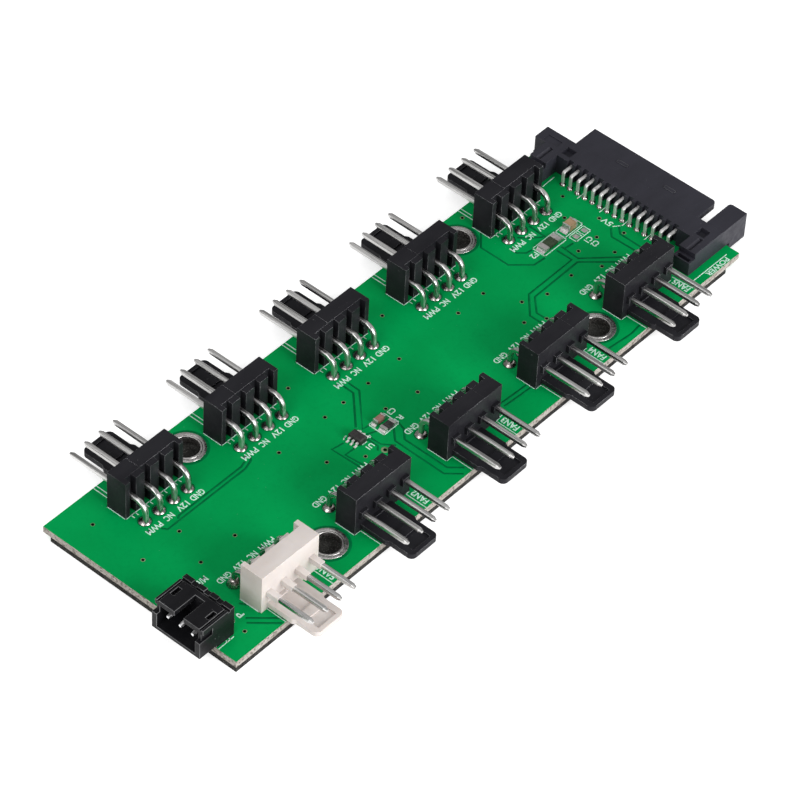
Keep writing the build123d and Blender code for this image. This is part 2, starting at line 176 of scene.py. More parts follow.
def board_finish():
    """Green lacquer over copper on top, cut glass fibre at the sides."""
    finish = Finish("green_lacquer", Specular_IOR_Level=0.03)
    clouds = finish.level(finish.noise(9.0), 0, 1)
    lacquer = finish.mix(clouds, (0.0, 0.26, 0.06), (0.0, 0.298, 0.072))
    cloth = finish.level(finish.noise(0.5, 4), 0, 0.3, 0.5, 0.8)
    lacquer = finish.mix(cloth, lacquer, (0.0, 0.2, 0.05))
    dust = finish.level(finish.noise(0.45, 3), 0, 0.5, 0.72, 0.78)
    lacquer = finish.mix(dust, lacquer, (0.10, 0.32, 0.2))
    layers = finish.noise(0.12, 4, (14, 14, 1))
    fibre = finish.mix(finish.level(layers, 0, 1), (0.27, 0.24, 0.205), (0.47, 0.44, 0.41))
    burr = finish.level(finish.noise(0.35, 4), 0, 0.75, 0.52, 0.62)
    fibre = finish.mix(burr, fibre, (0.1, 0.09, 0.075))
    up = finish.upward()
    finish.set("Base Color", finish.mix(up, fibre, lacquer))
    finish.set("Roughness", finish.level(up, 0.8, 0.42, 0, 1))
    finish.bump(finish.noise(2.2, 2), 0.004)
    finish.bump(layers, 0.02, 0.6)
    return finish.material


def lacquer_gap_finish():
    """Lacquer over bare board, darker than over copper."""
    finish = Finish("lacquer_gap", Specular_IOR_Level=0.03, Roughness=0.45)
    clouds = finish.level(finish.noise(1.4), 0, 1)
    finish.set("Base Color", finish.mix(clouds, (0.0, 0.11, 0.034), (0.0, 0.15, 0.042)))
    finish.bump(finish.noise(0.3), 0.004)
    return finish.material


def ink_finish():
    """White printing ink, thin enough for the lacquer to tint it."""
    finish = Finish("white_ink", Specular_IOR_Level=0.1, Roughness=0.62)
    cover = finish.level(finish.noise(0.35), 0, 1)
    finish.set("Base Color", finish.mix(cover, (0.42, 0.68, 0.56), (0.68, 0.86, 0.78)))
    finish.bump(finish.noise(0.12), 0.006)
    return finish.material


def foam_finish():
    """Dark closed-cell foam with pale specks and open cells on its cut sides."""
    finish = Finish("dark_foam", Specular_IOR_Level=0.15, Roughness=0.95)
    speck = finish.level(finish.noise(0.16, 2), 0, 1, 0.62, 0.7)
    clouds = finish.level(finish.noise(1.1), 0, 1)
    tone = finish.mix(clouds, (0.014, 0.014, 0.013), (0.036, 0.036, 0.033))
    finish.set("Base Color", finish.mix(speck, tone, (0.16, 0.155, 0.145)))
    finish.bump(finish.cells(0.22), 0.08)
    return finish.material


def nylon_finish(name, dark, light, rough, grain=0.012, **shader):
    """Moulded nylon: a fine grain, and faint clouds where the melt has flowed."""
    finish = Finish(name, **shader)
    clouds = finish.level(finish.noise(3.2, 4, (2.5, 1, 1)), 0, 1)
    dust = finish.level(finish.noise(0.3, 3), 0, 0.25, 0.73, 0.78)
    finish.set("Base Color", finish.mix(dust, finish.mix(clouds, dark, light), (0.5, 0.5, 0.5)))
    finish.set("Roughness", finish.level(finish.noise(0.9, 4), rough - 0.07, rough + 0.1))
    finish.bump(finish.noise(0.09, 3), grain)
    finish.bump(finish.noise(1.6, 2), 0.02)
    return finish.material


def metal_finish(
    name, dull, bright, rough, relief, relief_size, stretch=(1, 1, 1), metallic=1.0, patch=0.7
):
    """Tinned metal with dull and bright patches, drawn out into streaks of painted reflection on the
    header pins, and fine drawn or melted relief.
    """
    finish = Finish(name, Metallic=metallic)
    patches = finish.level(finish.noise(patch, 4, stretch), 0, 1, 0.3, 0.7)
    finish.set("Base Color", finish.mix(patches, dull, bright))
    finish.set("Roughness", finish.level(finish.noise(0.3, 3, stretch), rough - 0.06, rough + 0.12))
    finish.bump(finish.noise(relief_size, 3, stretch), relief)
    return finish.material


def ceramic_finish(name, dark, light, rough=0.4, shine=0.4):
    """Fired ceramic or lacquer with a slight mottle."""
    finish = Finish(name, Specular_IOR_Level=shine)
    finish.set("Base Color", finish.mix(finish.level(finish.noise(0.5, 3), 0, 1), dark, light))
    finish.set("Roughness", finish.level(finish.noise(0.2, 3), rough - 0.08, rough + 0.12))
    finish.bump(finish.noise(0.15, 2), 0.01)
    return finish.material


green_lacquer = board_finish()
lacquer_gap = lacquer_gap_finish()
white_ink = ink_finish()
dark_foam = foam_finish()
black_nylon = nylon_finish(
    "black_nylon", (0.011, 0.0108, 0.0135), (0.0165, 0.0163, 0.0195), 0.4, Specular_IOR_Level=0.1
)
deep_black_nylon = nylon_finish(
    "deep_black_nylon", (0.005, 0.005, 0.006), (0.009, 0.009, 0.0105), 0.36, Specular_IOR_Level=0.1
)
grey_black_nylon = nylon_finish(
    "grey_black_nylon", (0.019, 0.0185, 0.026), (0.025, 0.0245, 0.034), 0.5, Specular_IOR_Level=0.25
)
# Paler finishes for the rounded edges of the mouldings: painted highlights along their edges, patchy
# along their length
black_edge = nylon_finish(
    "black_edge", (0.03, 0.03, 0.032), (0.48, 0.48, 0.5), 0.4, Specular_IOR_Level=0.4
)
inlet_edge = nylon_finish(
    "inlet_edge", (0.008, 0.008, 0.009), (0.17, 0.17, 0.175), 0.4, Specular_IOR_Level=0.4
)
grey_edge = nylon_finish(
    "grey_edge", (0.025, 0.025, 0.03), (0.14, 0.14, 0.15), 0.45, Specular_IOR_Level=0.4
)
# Paler lines round the raised marks on the power inlet's plate: a painted highlight along their edges
worn_mark = nylon_finish(
    "worn_mark", (0.03, 0.03, 0.036), (0.075, 0.075, 0.085), 0.5, Specular_IOR_Level=0.3
)
pale_nylon = nylon_finish(
    "pale_nylon",
    (0.55, 0.495, 0.465),
    (0.61, 0.56, 0.535),
    0.42,
    grain=0.006,
    Specular_IOR_Level=0.4,
    Subsurface_Weight=0.15,
    Subsurface_Radius=(0.0012, 0.0009, 0.0006),
    Subsurface_Scale=0.4,
)
# The header pins' colour is streaked lengthwise from dull to bright: painted highlight lines and
# painted dark reflection lines along each pin
tinned_pin = metal_finish(
    "tinned_pin", (0.34, 0.335, 0.33), (0.84, 0.83, 0.82), 0.26, 0.012, 0.14, (1, 60, 60), patch=0.3
)
tinned_contact = metal_finish(
    "tinned_contact", (0.56, 0.55, 0.54), (0.84, 0.83, 0.82), 0.3, 0.006, 0.2, (1, 1, 6), metallic=0.6
)
solder = metal_finish("solder", (0.27, 0.235, 0.225), (0.56, 0.525, 0.51), 0.24, 0.03, 0.5)
tinned_ring = metal_finish("tinned_ring", (0.47, 0.45, 0.44), (0.66, 0.64, 0.63), 0.28, 0.004, 0.9)
via_copper = metal_finish(
    "via_copper", (0.03, 0.13, 0.04), (0.3, 0.32, 0.2), 0.45, 0.01, 0.3, metallic=0.3
)
bright_tip = metal_finish(
    "bright_tip", (0.85, 0.85, 0.86), (0.97, 0.97, 0.98), 0.4, 0.01, 0.3, metallic=0.9
)
tinned_end = metal_finish("tinned_end", (0.50, 0.48, 0.47), (0.74, 0.72, 0.70), 0.34, 0.02, 0.25)
tinned_lead = metal_finish(
    "tinned_lead", (0.70, 0.69, 0.68), (0.9, 0.89, 0.88), 0.4, 0.01, 0.2, metallic=0.7
)
# Near-black for the via discs: painted shade where each via's hole is
drilled_dark = ceramic_finish(
    "drilled_dark", (0.0005, 0.002, 0.001), (0.002, 0.006, 0.003), 0.8, shine=0.02
)
chip_epoxy = ceramic_finish("chip_epoxy", (0.012, 0.011, 0.011), (0.024, 0.022, 0.021), 0.5)
tan_ceramic = ceramic_finish("tan_ceramic", (0.27, 0.18, 0.10), (0.38, 0.25, 0.145))
pink_ceramic = ceramic_finish("pink_ceramic", (0.21, 0.11, 0.09), (0.32, 0.16, 0.13))
black_glaze = ceramic_finish("black_glaze", (0.01, 0.01, 0.01), (0.03, 0.03, 0.028), 0.3)
green_glaze = ceramic_finish("green_glaze", (0.02, 0.035, 0.016), (0.045, 0.07, 0.035), 0.35)


# Making and placing pieces


def link(name, mesh, material=None):
    """A new object at the origin with a mesh in metres."""
    piece = bpy.data.objects.new(name, mesh)
    bpy.context.scene.collection.objects.link(piece)
    if material:
        mesh.materials.append(material)
    return piece


def settle(piece, slot, *nodes):
    """Fixes a piece to the board and hides the nodes that it stands for; the finish's name given as
    slot is not used.
    """
    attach(piece, BODY)
    if nodes:
        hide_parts(*nodes)
    return piece


def base_mesh(name, points, edges=()):
    """Points in millimetres, and edges between them, for a tree to work on."""
    mesh = bpy.data.meshes.new(name)
    mesh.from_pydata([Vector(p) * MM for p in points], list(edges), [])
    return mesh


def new_tree(name, sizes):
    """A Geometry Nodes tree with a named input for each size and one for the finish."""
    tree = bpy.data.node_groups.new(name, "GeometryNodeTree")
    sockets = tree.interface
    sockets.new_socket("Geometry", in_out="INPUT", socket_type="NodeSocketGeometry")
    sockets.new_socket("Geometry", in_out="OUTPUT", socket_type="NodeSocketGeometry")
    for label in sizes:
        kind = "NodeSocketInt" if label in ("Count", "Seed", "Sides") else "NodeSocketFloat"
        sockets.new_socket(label, in_out="INPUT", socket_type=kind)
    sockets.new_socket("Finish", in_out="INPUT", socket_type="NodeSocketMaterial")
    start = tree.nodes.new("NodeGroupInput")
    return tree, start.outputs


def end_tree(tree, sizes, geometry):
    """Realizes a tree's copies and gives them their finish."""
    real = wire(tree, "GeometryNodeRealizeInstances", {0: geometry})
    done = wire(tree, "GeometryNodeSetMaterial", {0: real.outputs[0], "Material": sizes["Finish"]})
    wire(tree, "NodeGroupOutput", {0: done.outputs[0]})
    return tree


def grow(name, tree, base, material, **sizes):
    """The plain mesh that a tree makes from a base mesh, as a new object."""
    source = link(name + "_base", base)
    maker = source.modifiers.new("Make", "NODES")
    maker.node_group = tree
    sizes["Finish"] = material
    for item in tree.interface.items_tree:
        label = item.name.replace(" ", "_")
        if item.in_out == "INPUT" and label in sizes:
            maker[item.identifier] = sizes[label]
    graph = bpy.context.evaluated_depsgraph_get()
    mesh = bpy.data.meshes.new_from_object(source.evaluated_get(graph), depsgraph=graph)
    bpy.data.objects.remove(source)
    return link(name, mesh)


def maths(tree, operation, *values):
    """The output of a math node."""
    inputs = dict(enumerate(values))
    return wire(tree, "ShaderNodeMath", inputs, operation=operation).outputs[0]


def bent_strip_tree():
    """Sweeps a rounded rectangle along a bent line, and sets a row of copies beside it."""
    section_labels = ("Width", "Thickness", "Rounding", "Bend Radius", "Tip Length", "Tip Scale")
    tree, sizes = new_tree("bent_strips", (*section_labels, "Pitch", "Count"))
    path = wire(tree, "GeometryNodeMeshToCurve", {0: sizes["Geometry"]})
    bend = wire(
        tree,
        "GeometryNodeFilletCurve",
        {"Curve": path.outputs[0], "Radius": sizes["Bend Radius"], "Count": 9},
        mode="POLY",
    )
    section = wire(
        tree,
        "GeometryNodeCurvePrimitiveQuadrilateral",
        {"Width": sizes["Width"], "Height": sizes["Thickness"]},
    )
    round_section = wire(
        tree,
        "GeometryNodeFilletCurve",
        {"Curve": section.outputs[0], "Radius": sizes["Rounding"], "Count": 3},
        mode="POLY",
    )
    along = wire(tree, "GeometryNodeSplineParameter").outputs["Length"]
    taper = wire(
        tree,
        "ShaderNodeMapRange",
        {"Value": along, 1: 0.0, 2: sizes["Tip Length"], 3: sizes["Tip Scale"], 4: 1.0},
    )
    strip = wire(
        tree,
        "GeometryNodeCurveToMesh",
        {
            "Curve": bend.outputs[0],
            "Profile Curve": round_section.outputs[0],
            "Scale": taper.outputs["Result"],
            "Fill Caps": True,
        },
    )
    span = maths(tree, "MULTIPLY", maths(tree, "SUBTRACT", sizes["Count"], 1.0), sizes["Pitch"])
    first = wire(tree, "ShaderNodeCombineXYZ", {0: maths(tree, "MULTIPLY", span, -0.5)})
    step = wire(tree, "ShaderNodeCombineXYZ", {0: sizes["Pitch"]})
    row = wire(
        tree,
        "GeometryNodeMeshLine",
        {"Count": sizes["Count"], "Start Location": first.outputs[0], "Offset": step.outputs[0]},
    )
    copies = wire(
        tree,
        "GeometryNodeInstanceOnPoints",
        {"Points": row.outputs[0], "Instance": strip.outputs[0]},
    )
    return end_tree(tree, sizes, copies.outputs[0])


def turned_ring_tree():
    """Sets a ring with a softly rounded section at each point."""
    labels = ("Inner Radius", "Outer Radius", "Low", "High", "Rounding", "Sides")
    tree, sizes = new_tree("turned_rings", labels)
    both_radii = maths(tree, "ADD", sizes["Inner Radius"], sizes["Outer Radius"])
    path = wire(
        tree,
        "GeometryNodeCurvePrimitiveCircle",
        {"Resolution": sizes["Sides"], "Radius": maths(tree, "MULTIPLY", both_radii, 0.5)},
    )
    section = wire(
        tree,
        "GeometryNodeCurvePrimitiveQuadrilateral",
        {
            "Width": maths(tree, "SUBTRACT", sizes["Outer Radius"], sizes["Inner Radius"]),
            "Height": maths(tree, "SUBTRACT", sizes["High"], sizes["Low"]),
        },
    )
    round_section = wire(
        tree,
        "GeometryNodeFilletCurve",
        {"Curve": section.outputs[0], "Radius": sizes["Rounding"], "Limit Radius": True, "Count": 3},
        mode="POLY",
    )
    ring = wire(
        tree,
        "GeometryNodeCurveToMesh",
        {"Curve": path.outputs[0], "Profile Curve": round_section.outputs[0]},
    )
    both_levels = maths(tree, "ADD", sizes["Low"], sizes["High"])
    lift = wire(tree, "ShaderNodeCombineXYZ", {2: maths(tree, "MULTIPLY", both_levels, 0.5)})
    raised = wire(
        tree,
        "GeometryNodeTransform",
        {0: ring.outputs[0], "Translation": lift.outputs[0]},
    )
    copies = wire(
        tree,
        "GeometryNodeInstanceOnPoints",
        {"Points": sizes["Geometry"], "Instance": raised.outputs[0]},
    )
    return end_tree(tree, sizes, copies.outputs[0])


def solder_tree():
    """Sets a hollow-sided mound of solder at each point, with heights that vary a little."""
    labels = ("Foot Radius", "Neck Radius", "Height", "Hollow", "Height Spread", "Seed", "Sides")
    tree, sizes = new_tree("solder_mounds", labels)
    mound = wire(
        tree,
        "GeometryNodeMeshCylinder",
        {"Vertices": sizes["Sides"], "Side Segments": 6, "Radius": 1.0, "Depth": 1.0},
    )
    place = wire(tree, "GeometryNodeInputPosition").outputs[0]
    split = wire(tree, "ShaderNodeSeparateXYZ", {0: place})
    level = maths(tree, "ADD", split.outputs["Z"], 0.5)
    inward = maths(tree, "POWER", maths(tree, "SUBTRACT", 1.0, level), sizes["Hollow"])
    spread = maths(tree, "SUBTRACT", sizes["Foot Radius"], sizes["Neck Radius"])
    radius = maths(tree, "MULTIPLY_ADD", inward, spread, sizes["Neck Radius"])
    moved = wire(
        tree,
        "ShaderNodeCombineXYZ",
        {
            0: maths(tree, "MULTIPLY", split.outputs["X"], radius),
            1: maths(tree, "MULTIPLY", split.outputs["Y"], radius),
            2: maths(tree, "MULTIPLY", level, sizes["Height"]),
        },
    )
    shaped = wire(
        tree,
        "GeometryNodeSetPosition",
        {"Geometry": mound.outputs["Mesh"], "Position": moved.outputs[0]},
    )
    low = maths(tree, "SUBTRACT", 1.0, sizes["Height Spread"])
    tall = wire(tree, "FunctionNodeRandomValue", {"Seed": sizes["Seed"]}, data_type="FLOAT")
    tall.inputs["Max"].default_value = 1.0
    tree.links.new(low, tall.inputs["Min"])
    scale = wire(tree, "ShaderNodeCombineXYZ", {0: 1.0, 1: 1.0, 2: tall.outputs["Value"]})
    copies = wire(
        tree,
        "GeometryNodeInstanceOnPoints",
        {"Points": sizes["Geometry"], "Instance": shaped.outputs[0], "Scale": scale.outputs[0]},
    )
    return end_tree(tree, sizes, copies.outputs[0])


def drawn_line_tree():
    """Lays a flat line of a width and height along each edge."""
    tree, sizes = new_tree("drawn_lines", ("Width", "Height"))
    path = wire(tree, "GeometryNodeMeshToCurve", {0: sizes["Geometry"]})
    section = wire(
        tree,
        "GeometryNodeCurvePrimitiveQuadrilateral",
        {"Width": sizes["Width"], "Height": sizes["Height"]},
    )
    line = wire(
        tree,
        "GeometryNodeCurveToMesh",
        {"Curve": path.outputs[0], "Profile Curve": section.outputs[0], "Fill Caps": True},
    )
    return end_tree(tree, sizes, line.outputs[0])


bent_strips = bent_strip_tree()
turned_rings = turned_ring_tree()
solder_mounds = solder_tree()
drawn_lines = drawn_line_tree()


def smooth(piece, angle=40):
    """Shades a piece smooth but for its sharper corners."""
    piece.data.shade_smooth()
    piece.data.set_sharp_from_angle(angle=math.radians(angle))
    return piece


def place_mesh(piece, turn, offset):
    """Turns a piece's mesh about Z, in degrees, and moves it by an offset in millimetres."""
    turned = Matrix.Rotation(math.radians(turn), 4, "Z")
    piece.data.transform(Matrix.Translation(Vector(offset) * MM) @ turned)
    return piece


def softened_copy(node, width, material, slot, edge=None):
    """A node's own shape with its outer edges rounded, and a painted highlight on them where it has an
    edge finish.
    """
    merge_distance = 0.002 * MM
    flat_angle = math.radians(1.5)
    sharp_angle = math.radians(40)
    shortest_edge = 2.5 * width * MM
    shape = bmesh.new()
    shape.from_mesh(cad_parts[node].data)
    bmesh.ops.remove_doubles(shape, verts=shape.verts, dist=merge_distance)
    bmesh.ops.dissolve_limit(
        shape, angle_limit=flat_angle, verts=shape.verts, edges=shape.edges
    )
    sharp = [
        e
        for e in shape.edges
        if len(e.link_faces) == 2
        and e.is_convex
        and e.calc_face_angle() > sharp_angle
        and e.calc_length() > shortest_edge
    ]
    bmesh.ops.bevel(
        shape,
        geom=sharp,
        offset=width * MM,
        segments=2,
        profile=0.5,
        affect="EDGES",
        clamp_overlap=True,
        material=1 if edge else -1,
    )
    bmesh.ops.triangulate(shape, faces=[f for f in shape.faces if len(f.verts) > 4])
    mesh = bpy.data.meshes.new(node + "_moulding")
    shape.to_mesh(mesh)
    shape.free()
    piece = link(node + "_moulding", mesh, material)
    if edge:
        mesh.materials.append(edge)
    return settle(piece, slot, node)


# Mouldings

for number in header_spots:
    if number == pale_header:
        softened_copy(f"fan_header_{number}", 0.07, pale_nylon, "pale_nylon")
    else:
        softened_copy(f"fan_header_{number}", 0.075, black_nylon, "black_nylon", black_edge)
softened_copy("power_inlet", 0.05, grey_black_nylon, "black_nylon", grey_edge)
softened_copy("signal_inlet", 0.08, deep_black_nylon, "black_nylon", inlet_edge)


# Header pins: drawn square wire with softened edges, bent down into the board

pin_tip = 0.5
for number, spot in header_spots.items():
    line = base_mesh(
        "pin_line",
        [
            (0, spot.pin_reach, spot.pin_height),
            (0, spot.pin_reach - pin_tip, spot.pin_height),
            (0, 0, spot.pin_height),
            (0, 0, board_bottom),
        ],
        [(0, 1), (1, 2), (2, 3)],
    )
    pins = grow(
        f"header_pins_{number}",
        bent_strips,
        line,
        tinned_pin,
        Width=pin_width * MM,
        Thickness=pin_width * MM,
        Rounding=0.15 * MM,
        Bend_Radius=1.5 * MM,
        Tip_Length=pin_tip * MM,
        Tip_Scale=0.5,
        Pitch=pin_pitch * MM,
        Count=pins_per_header,
    )
    place_mesh(pins, 0 if spot.facing > 0 else 180, (spot.middle, spot.row, 0))
    settle(smooth(pins), "tinned_pin", f"fan_header_pins_{number}")


# Power contacts: thin stamped strips in one row

contact_thickness = 0.25
first_low, first_high = node_box("power_contact_1")
last_low, last_high = node_box(f"power_contact_{contact_count}")
first_contact = (first_low.y + first_high.y) / 2
last_contact = (last_low.y + last_high.y) / 2
contact_middle = (first_contact + last_contact) / 2
contact_pitch = (first_contact - last_contact) / (contact_count - 1)
contact_row = first_low.x + contact_thickness / 2
contact_reach = first_high.x - contact_row
contact_height = first_high.z - contact_thickness / 2
line = base_mesh(
    "contact_line",
    [(0, contact_reach, contact_height), (0, 0, contact_height), (0, 0, board_bottom)],
    [(0, 1), (1, 2)],
)
contacts = grow(
    "power_contacts",
    bent_strips,
    line,
    tinned_contact,
    Width=0.45 * MM,
    Thickness=contact_thickness * MM,
    Rounding=0.06 * MM,
    Bend_Radius=0.3 * MM,
    Tip_Length=0.2 * MM,
    Tip_Scale=0.9,
    Pitch=contact_pitch * MM,
    Count=contact_count,
)
place_mesh(contacts, -90, (contact_row, contact_middle, 0))
contact_nodes = [f"power_contact_{i + 1}" for i in range(contact_count)]
settle(smooth(contacts), "tinned_contact", *contact_nodes)


# Signal pins

signal_width = 0.5
signal_tip = 0.5
signal_nodes = ["signal_pin_1", "signal_pin_2", "signal_pin_3"]
signal_boxes = [node_box(node) for node in signal_nodes]
signal_places = [(low.y + high.y) / 2 for low, high in signal_boxes]
signal_low, signal_high = signal_boxes[0]
signal_row = signal_high.x - signal_width / 2
signal_reach = signal_row - signal_low.x
signal_height = signal_high.z - signal_width / 2
line = base_mesh(
    "signal_line",
    [
        (0, signal_reach, signal_height),
        (0, signal_reach - signal_tip, signal_height),
        (0, 0, signal_height),
        (0, 0, board_bottom),
    ],
    [(0, 1), (1, 2), (2, 3)],
)
signal_pins = grow(
    "signal_pins",
    bent_strips,
    line,
    bright_tip,
    Width=signal_width * MM,
    Thickness=signal_width * MM,
    Rounding=0.12 * MM,
    Bend_Radius=0.8 * MM,
    Tip_Length=0.3 * MM,
    Tip_Scale=0.7,
    Pitch=2.0 * MM,
    Count=len(signal_nodes),
)
place_mesh(signal_pins, 90, (signal_row, signal_places[1], 0))
settle(smooth(signal_pins), "tinned_pin", *signal_nodes)


# Solder joints. The back row's sit a little beside their legs

joint_shift = {-1: (0.0, 0.0), 1: (0.1, 0.26)}
header_legs = []
for spot in header_spots.values():
    shift_x, shift_y = joint_shift[spot.facing]
    row = spot.row + shift_y
    header_legs += [(spot.middle + x + shift_x, row, board_top) for x in pin_places]
contact_places = [first_contact - i * contact_pitch for i in range(contact_count)]
contact_legs = [(contact_row, y, board_top) for y in contact_places]
signal_legs = [(signal_row, y, board_top) for y in signal_places]
pale_legs = header_legs[:pins_per_header]
black_legs = header_legs[pins_per_header:]

# Each group's name, legs, foot radius, neck radius, height and nodes
joint_groups = (
    ("fan_header_joints", black_legs, 0.84, 0.4, 0.38, ["fan_header_solder"]),
    ("pale_header_joints", pale_legs, 0.88, 0.42, 1.3, []),
    ("power_inlet_joints", contact_legs, 0.46, 0.24, 0.36, ["power_inlet_solder"]),
    ("signal_inlet_joints", signal_legs, 0.72, 0.32, 0.42, ["signal_inlet_solder"]),
)
for seed, (name, legs, foot, neck, height, nodes) in enumerate(joint_groups):
    joints = grow(
        name,
        solder_mounds,
        base_mesh(name, legs),
        solder,
        Foot_Radius=foot * MM,
        Neck_Radius=neck * MM,
        Height=height * MM,
        Hollow=0.6,
        Height_Spread=0.3,
        Seed=seed,
        Sides=20,
    )
    settle(smooth(joints, 70), "solder", *nodes)


# Plated mounting holes and vias


def rings(name, places, radii, heights, rounding, material, slot, nodes=(), sides=48):
    """Rings between two radii at places on the board, and between two heights from its top."""
    piece = grow(
        name,
        turned_rings,
        base_mesh(name, [(x, y, board_top) for x, y in places]),
        material,
        Inner_Radius=radii[0] * MM,
        Outer_Radius=radii[1] * MM,
        Low=heights[0] * MM,
        High=heights[1] * MM,
        Rounding=rounding * MM,
        Sides=sides,
    )
    return settle(smooth(piece, 50), slot, *nodes)


plating_low, plating_high = node_box("mounting_hole_plating")
ring_radius = 2.6
hole_radius = 1.8
mounting_holes = [
    (x, y)
    for x in (plating_low.x + ring_radius, plating_high.x - ring_radius)
    for y in (plating_low.y + ring_radius, plating_high.y - ring_radius)
]
rings(
    "hole_sleeves",
    mounting_holes,
    radii=(hole_radius, hole_radius + 0.1),
    heights=(board_bottom - board_top, 0.05),
    rounding=0.02,
    material=tinned_ring,
    slot="tinned_ring",
    nodes=["mounting_hole_plating"],
)
rings(
    "hole_lips",
    mounting_holes,
    radii=(hole_radius, hole_radius + 0.3),
    heights=(0.0, 0.13),
    rounding=0.06,
    material=tinned_ring,
    slot="tinned_ring",
)
rings(
    "hole_pads",
    mounting_holes,
    radii=(hole_radius + 0.32, ring_radius),
    heights=(0.0, 0.07),
    rounding=0.035,
    material=tinned_ring,
    slot="tinned_ring",
)
rings(
    "hole_gaps",
    mounting_holes,
    radii=(ring_radius, ring_radius + 0.4),
    heights=(0.0, gap_height),
    rounding=0.002,
    material=lacquer_gap,
    slot="solder_mask",
)
# Darker rings in the lacquer-gap colour round each header joint
rings(
    "joint_gaps",
    [(x, y) for x, y, z in header_legs],
    radii=(0.8, 0.98),
    heights=(0.0, gap_height),
    rounding=0.002,
    material=lacquer_gap,
    slot="solder_mask",
    sides=28,
)

large_via = (-10.14, -5.81)
vias = (
    (-44.16, 11.81),
    (-44.19, 3.33),
    (-37.72, 3.37),
    (-39.66, -2.02),
    (-44.22, -13.44),
    (-10.47, 10.18),
    (-19.58, 3.45),
    (7.51, 10.19),
    (3.11, 3.45),
    (-2.86, 3.42),
    (28.53, 14.68),
    (19.59, 3.43),
    (14.6, 3.41),
    (0.27, -2.13),
    (-4.72, -1.14),
    (-7.55, 3.44),
    (-12.66, -4.8),
    (-16.72, -1.97),
    (-11.09, 3.4),
    (40.89, 7.75),
    (40.95, 1.54),
    (41.02, -2.59),
    (37.93, -0.51),
    (34.23, -0.45),
    (37.35, -4.03),
    (34.13, -4.5),
    (30.05, -2.68),
    (25.23, -2.66),
    (37.85, 4.93),
    (21.82, -1.22),
    (19.13, -3.86),
    (21.69, -5.49),
    (-33.58, -2.02),
)
rings(
    "via_rims",
    vias,
    radii=(0.21, 0.29),
    heights=(0.0, 0.015),
    rounding=0.006,
    material=via_copper,
    slot="tinned_ring",
    sides=20,
)
rings(
    "large_via_rim",
    [large_via],
    radii=(0.26, 0.52),
    heights=(0.0, 0.02),
    rounding=0.008,
    material=via_copper,
    slot="tinned_ring",
    sides=28,
)
# Each via hole is a flat near-black disc on the board's top: painted shade in place of a hole
via_hole_radius = 0.24
via_holes = grow(
    "via_holes",
    solder_mounds,
    base_mesh("via_holes", [(x, y, board_top) for x, y in (*vias, large_via)]),
    drilled_dark,
    Foot_Radius=via_hole_radius * MM,
    Neck_Radius=via_hole_radius * MM,
    Height=0.012 * MM,
    Hollow=1.0,
    Height_Spread=0.1,
    Seed=5,
    Sides=16,
)
settle(via_holes, "solder_mask")


# Printed lines, trace gaps and lettering


def lay_lines(name, runs, width, height, material, slot, square_ends=True, level=board_top):
    """Lines on a level face along runs of points. Square-ended runs overlap at their corners."""
    points = []
    edges = []
    for run in runs:
        stops = [Vector((x, y, level + height / 2)) for x, y in run]
        if not square_ends:
            edges += [(len(points) + i, len(points) + i + 1) for i in range(len(stops) - 1)]
            points += stops
            continue
        for a, b in zip(stops, stops[1:]):
            over = (b - a).normalized() * width / 2
            edges.append((len(points), len(points) + 1))
            points += [a - over, b + over]
    piece = grow(
        name,
        drawn_lines,
        base_mesh(name, points, edges),
        material,
        Width=width * MM,
        Height=height * MM,
    )
    return settle(piece, slot)


def outline(low, high):
    """A closed rectangle as a run of points."""
    return [low, (high[0], low[1]), high, (low[0], high[1]), low]


def header_outline(spot):
    """The printed outline of one header: its body, its latch and a pair of ticks for each pin."""
    half, rear, front = 5.12, 2.14, 5.3
    latch_half, latch_end = 4.04, 8.6
    latch_far = 4.4 if spot.facing < 0 else latch_half
    inner_line, inner_start = -3.5, 6.8
    tick_side, tick_length = 0.34, 0.55
    runs = [
        [
            (latch_half, latch_end),
            (latch_half, front),
            (half, front),
            (half, rear),
            (-half, rear),
            (-half, front),
        ],
        [(-half, front), (-latch_far, front), (-latch_far, latch_end)],
    ]
    if spot.facing > 0:
        runs.append([(inner_line, inner_start), (inner_line, latch_end)])
    for x in pin_places:
        for side in (-tick_side, tick_side):
            runs.append([(x + side, rear), (x + side, rear - tick_length)])
    return [[spot.on_board(x, y) for x, y in run] for run in runs]


ink_runs = []
for spot in header_spots.values():
    ink_runs += header_outline(spot)
ink_runs += [
    # Frames round the small parts
    outline((-8.3, -4.02), (-5.45, -1.45)),
    outline((30.45, 2.1), (34.85, 4.2)),
    outline((34.95, 2.45), (38.6, 4.1)),
    outline((35.4, 0.88), (38.38, 2.16)),
    # Sign between the bare pads
    [(36.72, 1.1), (36.72, 1.95)],
    [(37.1, 1.1), (37.1, 1.95)],
    [(36.72, 1.5), (37.1, 1.5)],
    # Lines beside the two inlets
    [(40.37, -14.86), (47.1, -14.92)],
    [(40.57, 10.91), (42.93, 10.98)],
    [(-48.4, -13.08), (-45.8, -13.04)],
    [(-46.85, -13.06), (-46.85, -12.86)],
    [(-46.33, -13.06), (-46.33, -12.86)],
    [(41.0, -0.75), (41.7, -1.3)],
    # Lines beside the front headers
    [(38.9, -12.5), (39.1, -15.6)],
    [(3.28, -12.5), (5.0, -12.5)],
    # Corners round the buffer chip
    [(-9.62, -2.75), (-9.62, -3.0), (-9.85, -3.04)],
    [(-10.7, -3.2), (-11.4, -3.16)],
    [(-12.35, -0.9), (-12.1, -0.68), (-11.7, -0.7)],
]

# Short lines that part the power contacts into threes
divider_start, divider_end = 41.95, 43.75
for count in range(contacts_per_group, contact_count, contacts_per_group):
    y = first_contact - (count - 0.5) * contact_pitch
    ink_runs.append([(divider_start, y), (divider_end, y)])
lay_lines("printed_lines", ink_runs, ink_width, ink_height, white_ink, "solder_mask")

